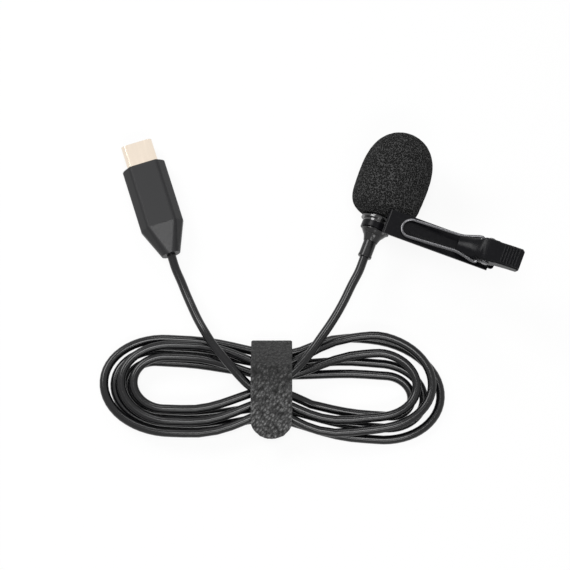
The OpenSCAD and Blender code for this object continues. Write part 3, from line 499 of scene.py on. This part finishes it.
def add_windscreen():
    """Open-cell foam: a domed barrel with a bore, its skin broken by pores."""
    skin = foam_skin()
    inner = [(FOAM_BORE, FOAM_DEPTH * (1 - i / 8)) for i in range(9)]
    rows = inner + [((FOAM_BORE + skin[0][0]) / 2, 0.0)] + skin
    points, faces = [], []
    base = MIC + Vector((0, FOAM_START, 0))
    for row, (r, s) in enumerate(rows):
        for j in range(FOAM_SIDES):
            a = 2 * math.pi * j / FOAM_SIDES
            p = base + Vector((r * math.cos(a), s, r * math.sin(a)))
            if row >= len(inner):
                out = Vector((math.cos(a), 0.0, math.sin(a)))
                if s > FOAM_WIDE_AT:
                    up = (s - FOAM_WIDE_AT) / (FOAM_H - FOAM_WIDE_AT)
                    out = Vector((r * math.cos(a) / FOAM_R, up,
                                  r * math.sin(a) / FOAM_R)).normalized()
                p = pitted(p, out)
                p.y = max(p.y, base.y)
            points.append(p)
    for row in range(len(rows) - 1):
        low, high = row * FOAM_SIDES, (row + 1) * FOAM_SIDES
        for j in range(FOAM_SIDES):
            k = (j + 1) % FOAM_SIDES
            faces.append((low + j, high + j, high + k, low + k))
    floor = len(points)
    points += [base + Vector((0, FOAM_DEPTH, 0)), base + Vector((0, FOAM_H, 0))]
    top = (len(rows) - 1) * FOAM_SIDES
    for j in range(FOAM_SIDES):
        k = (j + 1) % FOAM_SIDES
        faces.append((floor, j, k))
        faces.append((floor + 1, top + k, top + j))
    piece = add_mesh("windscreen_foam", points, faces, "foam")
    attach(piece, "windscreen")
    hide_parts("windscreen")


add_windscreen()


# ---------- cable tie ----------

def hull_outline(circles, grow):
    """Outline round circles (x, y, radius), grown, counter-clockwise."""
    points = sorted((x + (r + grow) * math.cos(a), y + (r + grow) * math.sin(a))
                    for x, y, r in circles for a in (math.pi * i / 60 for i in range(120)))
    outline = []
    for sweep in (points, points[::-1]):
        part = []
        for p in sweep:
            while len(part) > 1 and ((part[-1][0] - part[-2][0]) * (p[1] - part[-2][1])
                                     - (part[-1][1] - part[-2][1]) * (p[0] - part[-2][0])) <= 0:
                part.pop()
            part.append(p)
        outline += part[:-1]
    return outline


def even_steps(outline, step):
    """Points at even steps round a closed outline."""
    count = len(outline)
    lengths = [math.dist(outline[i], outline[(i + 1) % count]) for i in range(count)]
    total = sum(lengths)
    number = round(total / step)
    walked, i, result = 0.0, 0, []
    for n in range(number):
        aim = total * n / number
        while walked + lengths[i] < aim:
            walked += lengths[i]
            i += 1
        a, b = outline[i], outline[(i + 1) % count]
        k = (aim - walked) / lengths[i]
        result.append((a[0] + (b[0] - a[0]) * k, a[1] + (b[1] - a[1]) * k))
    return result


TIE_W, BAND_W, TIE_T = 10.6, 8.8, 0.9        # widths of the lap and the band, thickness
RUN_CROSSINGS = [(4.4, 7.95), (-1.3, 7.75)]  # (v, z) of the free runs under the tie
TONGUE_PAST, TONGUE_ROUND = 4.5, 4.2
TIE_STEP, TIE_ACROSS = 0.22, 54              # mesh step along the strap, cells across it
RIM, RIM_TOP, RIM_LOW = 0.35, 0.45, 0.25     # width of the rounded rim, how far it closes
PILE, LAP_LOW = 0.03, 2.6                    # room for the pile, height where the lap starts
HOOK_H, HOOK_ROW, HOOK_STEP = 0.34, 1.45, 1.5
HOOK_SHIFT, HOOK_SLANT = 0.7, 0.55
WORN_FROM, WORN_OVER = 5, 7                  # the hooks rise over this stretch of the lap


def bundle_sides():
    """Sides (lowest v, highest v) of the lower and of the upper layer under the tie."""
    meet = CORD_D / 2 + LAYER_STEP / 2 + TIE_LIFT
    places = [hank_point(TURNS * i / 1200) for i in range(60, 1190)]
    places = [p for p in places if abs(p.x) < TIE_W / 2 + 0.5]
    lower = [p.y for p in places if p.z < meet]
    upper = [p.y for p in places if p.z >= meet]
    return (min(lower), max(lower)), (min(upper), max(upper))


LOWER_SIDES, UPPER_SIDES = bundle_sides()
TONGUE_TIP = UPPER_SIDES[0] - TONGUE_PAST - 0.8


def tie_circles(past):
    """Circles (v, z, radius) whose hull is the bundle, run on past its near side."""
    r = CORD_D / 2 + 0.1
    low = TIE_T + r
    upper = CORD_D / 2 + LAYER_STEP + TIE_LIFT
    near_top = Vector((UPPER_SIDES[0], upper))
    end = near_top + past * (near_top - Vector(RUN_CROSSINGS[1])).normalized()
    return ([(v, low, r) for v in LOWER_SIDES] + [(v, upper, r) for v in UPPER_SIDES]
            + [(v, z, r) for v, z in RUN_CROSSINGS] + [(end.x, end.y, r)])


def hooks(u, s):
    """Height of the strap's hook rows: short slanted bars, turned row by row."""
    row = math.floor(s / HOOK_ROW)
    k = s / HOOK_ROW - row - 0.5
    lean = 1 if row % 2 else -1
    c = (u + HOOK_SHIFT * (row % 2)) / HOOK_STEP + lean * k * HOOK_SLANT
    c -= math.floor(c) + 0.5
    return smooth_step(1 - abs(c) * 3.2) * smooth_step(1.35 - abs(k) * 2.6)


def strip(outline_low, outline_high, first, last, half_width, height_of):
    """A strap's stretch between two outlines: rows of points across, then faces."""
    rows, points, faces = last - first, [], []
    for i in range(first, last + 1):
        n = i % len(outline_low)
        (v0, z0), (v1, z1) = outline_low[n], outline_high[n]
        for side in (0, 1):
            for j in range(TIE_ACROSS + 1):
                u = half_width(i) * (2 * j / TIE_ACROSS - 1)
                rim = smooth_step((half_width(i) - abs(u)) / RIM)
                k = side * (1 - RIM_TOP + RIM_TOP * rim) + (1 - side) * RIM_LOW * (1 - rim)
                rise = side * rim * height_of(u, i)
                z = z0 + (z1 - z0) * k + (z1 - z0) / TIE_T * rise
                v = v0 + (v1 - v0) * k + (v1 - v0) / TIE_T * rise
                points.append(from_hank((u, v, z)))
    half = TIE_ACROSS + 1
    wide = 2 * half
    for i in range(rows):
        for j in range(TIE_ACROSS):
            a = i * wide + j
            b = a + half
            faces.append((a, a + 1, a + 1 + wide, a + wide))
            faces.append((b, b + wide, b + 1 + wide, b + 1))
        a, b = i * wide, i * wide + half
        faces.append((a, a + wide, b + wide, b))
        a, b = a + TIE_ACROSS, b + TIE_ACROSS
        faces.append((a, b, b + wide, a + wide))
    for i in (0, rows):
        for j in range(TIE_ACROSS):
            a, b = i * wide + j, i * wide + half + j
            faces.append((a, b, b + 1, a + 1) if i == 0 else (a, a + 1, b + 1, b))
    return points, faces


def ring(circles, grow, number):
    """A number of points at even steps round the grown circles."""
    outline = hull_outline(circles, grow)
    length = sum(math.dist(a, b) for a, b in zip(outline, outline[1:] + outline[:1]))
    return even_steps(outline, length / number)


def add_tie():
    """The strap: a band round the bundle, and a wider lap over it with a rounded tongue."""
    def band_height(u, i):
        return 0.04 * noise.noise(Vector((u, i * TIE_STEP, 3.0)) * 2.0)

    bundle, past = tie_circles(0), tie_circles(TONGUE_PAST)
    number = len(even_steps(hull_outline(bundle, 1.0), TIE_STEP))
    band_low, band_high = ring(bundle, 0.0, number), ring(bundle, TIE_T - PILE, number)
    points, faces = strip(band_low, band_high, 0, number, lambda i: BAND_W / 2, band_height)
    # the lap starts on the far side of the bundle
    number = len(even_steps(hull_outline(past, 1.0), TIE_STEP))
    lap_low, lap_high = ring(past, TIE_T, number), ring(past, 2 * TIE_T - HOOK_H, number)
    reach = max(p[0] for p in lap_high)
    first = next(i for i in range(number)
                 if lap_high[i][0] > reach - 0.4 and lap_high[i][1] > LAP_LOW)
    last = next(i for i in range(first, number) if lap_high[i][0] < TONGUE_TIP + 0.02)

    def half_width(i):
        left = (lap_high[i % number][0] - TONGUE_TIP) / TONGUE_ROUND
        if left >= 1:
            return TIE_W / 2
        return max(TIE_W / 2 * math.sqrt(max(2 * left - left * left, 0.0)), 0.2)

    def lap_height(u, i):
        down = (i - first) * TIE_STEP
        hooks_and_painted_light = smooth_step((down - WORN_FROM) / WORN_OVER)
        soft = 0.05 * noise.noise(Vector((u, down, 0.0)) * 1.7)
        return soft + HOOK_H * hooks_and_painted_light * hooks(u, down)

    lap_points, lap_faces = strip(lap_low, lap_high, first, last, half_width, lap_height)
    shift = len(points)
    points += lap_points
    faces += [tuple(k + shift for k in face) for face in lap_faces]
    piece = add_mesh("tie_strap", points, faces, "strap")
    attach(piece, "microphone")
    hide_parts("cable_tie")
    return piece


tie = add_tie()


# ---------- smoothed CAD pieces ----------

def smoothed(node_name, angle):
    """A node's own shape, shaded smooth where its faces meet at less than an angle."""
    node = nodes[node_name]
    mesh = node.data.copy()
    work = bmesh.new()
    work.from_mesh(mesh)
    bmesh.ops.remove_doubles(work, verts=work.verts, dist=0.001 * MM)
    for face in work.faces:
        face.smooth = True
    work.to_mesh(mesh)
    work.free()
    if "custom_normal" in mesh.attributes:
        mesh.attributes.remove(mesh.attributes["custom_normal"])
    mesh.set_sharp_from_angle(angle=math.radians(angle))
    piece = bpy.data.objects.new(node_name + "_skin", mesh)
    piece.matrix_world = node.matrix_world.copy()
    bpy.context.scene.collection.objects.link(piece)
    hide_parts(node_name)
    return piece


def add_spring():
    """A smooth-shaded copy of the spring, its place baked into its mesh; the ends of its axis
    inside the legs are worked out but not used.
    """
    spring = smoothed("torsion_spring", 70)
    ys = [(spring.matrix_world @ v.co).y for v in spring.data.vertices]
    leg = 0.4 * MM
    start, end = PIVOT * MM, PIVOT * MM
    start.y, end.y = min(ys) + leg, max(ys) - leg
    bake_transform(spring)


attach(smoothed("clip_lever", 38), "lever")
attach(smoothed("bail_wire", 70), "lever")
add_spring()


# ---------- stage and light ----------

def white_for_camera(tree, plain_output, white_output, share):
    """Mixes towards white for rays that see the background directly."""
    path = tree.nodes.new("ShaderNodeLightPath")
    seen = tree.nodes.new("ShaderNodeMath")
    seen.operation = "ADD"
    both = tree.nodes.new("ShaderNodeMath")
    both.operation = "ADD"
    both.use_clamp = True
    scale = tree.nodes.new("ShaderNodeMath")
    scale.operation = "MULTIPLY"
    scale.inputs[1].default_value = share
    tree.links.new(path.outputs["Is Camera Ray"], seen.inputs[0])
    tree.links.new(path.outputs["Is Glossy Ray"], seen.inputs[1])
    tree.links.new(seen.outputs[0], both.inputs[0])
    tree.links.new(path.outputs["Is Transmission Ray"], both.inputs[1])
    tree.links.new(both.outputs[0], scale.inputs[0])
    mix = tree.nodes.new("ShaderNodeMixShader")
    tree.links.new(scale.outputs[0], mix.inputs[0])
    tree.links.new(plain_output, mix.inputs[1])
    tree.links.new(white_output, mix.inputs[2])
    return mix.outputs[0]


def add_floor():
    """A plain white floor just under the part, which keeps the part's shadow."""
    mat = bpy.data.materials.new("floor")
    mat.use_nodes = True
    tree = mat.node_tree
    tree.nodes.clear()
    lit = tree.nodes.new("ShaderNodeBsdfDiffuse")
    lit.inputs["Color"].default_value = (0.9, 0.9, 0.9, 1)
    white = tree.nodes.new("ShaderNodeEmission")
    white.inputs["Color"].default_value = (1, 1, 1, 1)
    out = tree.nodes.new("ShaderNodeOutputMaterial")
    tree.links.new(
        white_for_camera(tree, lit.outputs[0], white.outputs[0], 0.9), out.inputs["Surface"])
    mesh = bpy.data.meshes.new("floor")
    size, drop = 3.0, -0.00005
    corners = [(-size, -size, drop), (size, -size, drop), (size, size, drop), (-size, size, drop)]
    mesh.from_pydata(corners, [], [(0, 1, 2, 3)])
    mesh.materials.append(mat)
    floor = bpy.data.objects.new("floor", mesh)
    bpy.context.scene.collection.objects.link(floor)


def add_world():
    """Soft light from all round, with a white background."""
    world = bpy.data.worlds.new("studio")
    bpy.context.scene.world = world
    world.use_nodes = True
    tree = world.node_tree
    tree.nodes.clear()
    lit = tree.nodes.new("ShaderNodeBackground")
    lit.inputs["Color"].default_value = (1, 1, 1, 1)
    lit.inputs["Strength"].default_value = 0.18
    white = tree.nodes.new("ShaderNodeBackground")
    white.inputs["Color"].default_value = (1, 1, 1, 1)
    out = tree.nodes.new("ShaderNodeOutputWorld")
    tree.links.new(
        white_for_camera(tree, lit.outputs[0], white.outputs[0], 1.0), out.inputs["Surface"])


def add_light(name, place, size, power):
    """A rectangular lamp aimed at the middle of the part."""
    data = bpy.data.lights.new(name, "AREA")
    data.shape = "RECTANGLE"
    data.size, data.size_y = size
    data.energy = power
    lamp = bpy.data.objects.new(name, data)
    lamp.location = place
    lamp.rotation_mode = "QUATERNION"
    lamp.rotation_quaternion = (LIGHT_AIM - Vector(place)).to_track_quat("-Z", "Y")
    bpy.context.scene.collection.objects.link(lamp)


LIGHT_AIM = Vector((-0.03, -0.03, 0))
add_floor()
add_world()
add_light("top", (0.0, -0.1, 0.7), (0.26, 0.22), 2.2)
add_light("back", (-0.2, 0.45, 0.5), (0.2, 0.1), 0.6)
add_light("front", (0.16, -0.38, 0.48), (0.36, 0.14), 1.0)
add_light("left", (-0.45, 0.12, 0.42), (0.24, 0.24), 1.5)
bpy.context.scene.view_settings.view_transform = "Standard"
